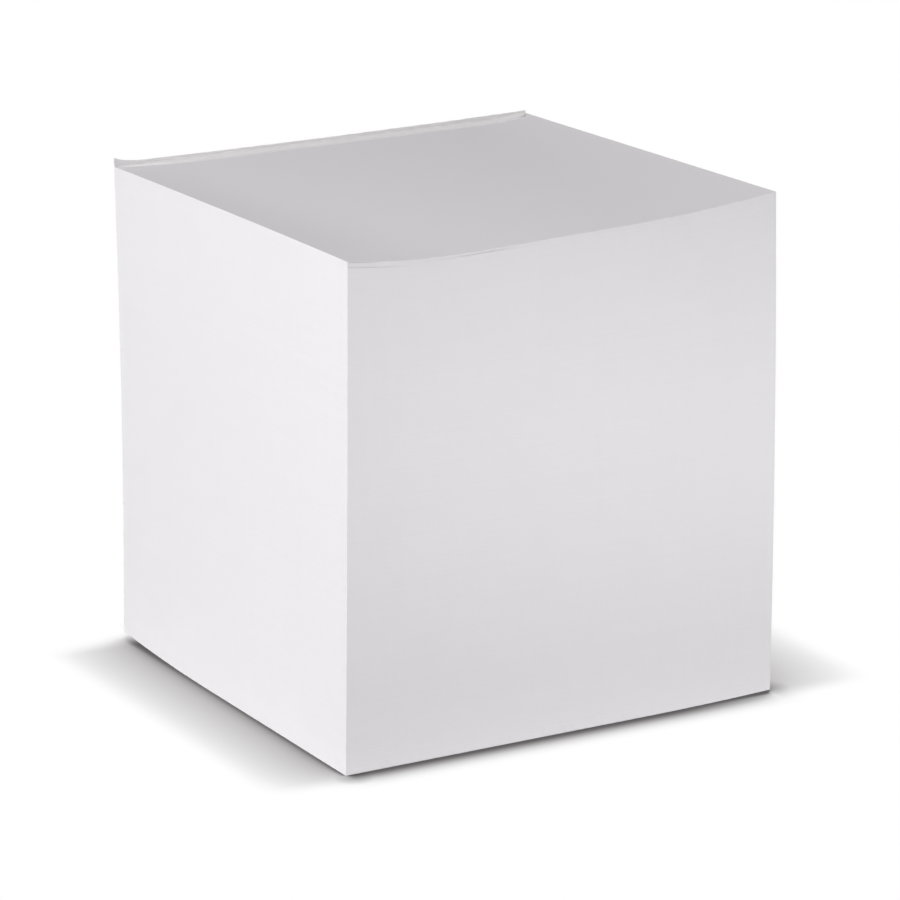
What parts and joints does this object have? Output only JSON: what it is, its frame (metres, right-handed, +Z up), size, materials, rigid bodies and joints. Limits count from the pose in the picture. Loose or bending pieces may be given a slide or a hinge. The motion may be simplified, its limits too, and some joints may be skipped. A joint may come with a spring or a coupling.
{
  "type": "memo cube",
  "caption": "Plain white memo cube: a block of loose square note sheets, glued down its back, with softly curled top sheets.",
  "frame": {"origin": "middle of the bottom sheet, on the surface that the block stands on", "axes": "+Z up through the stack; +X across the front to the right; +Y from the free front edge to the glued back"},
  "size_m": [0.1028, 0.1033, 0.1064],
  "materials": {
    "note_paper": "matte",
    "padding_glue": "satin"
  },
  "bodies": {
    "root": {"paper_block": "note_paper", "glue_binding": "padding_glue"}
  },
  "joints": []
}
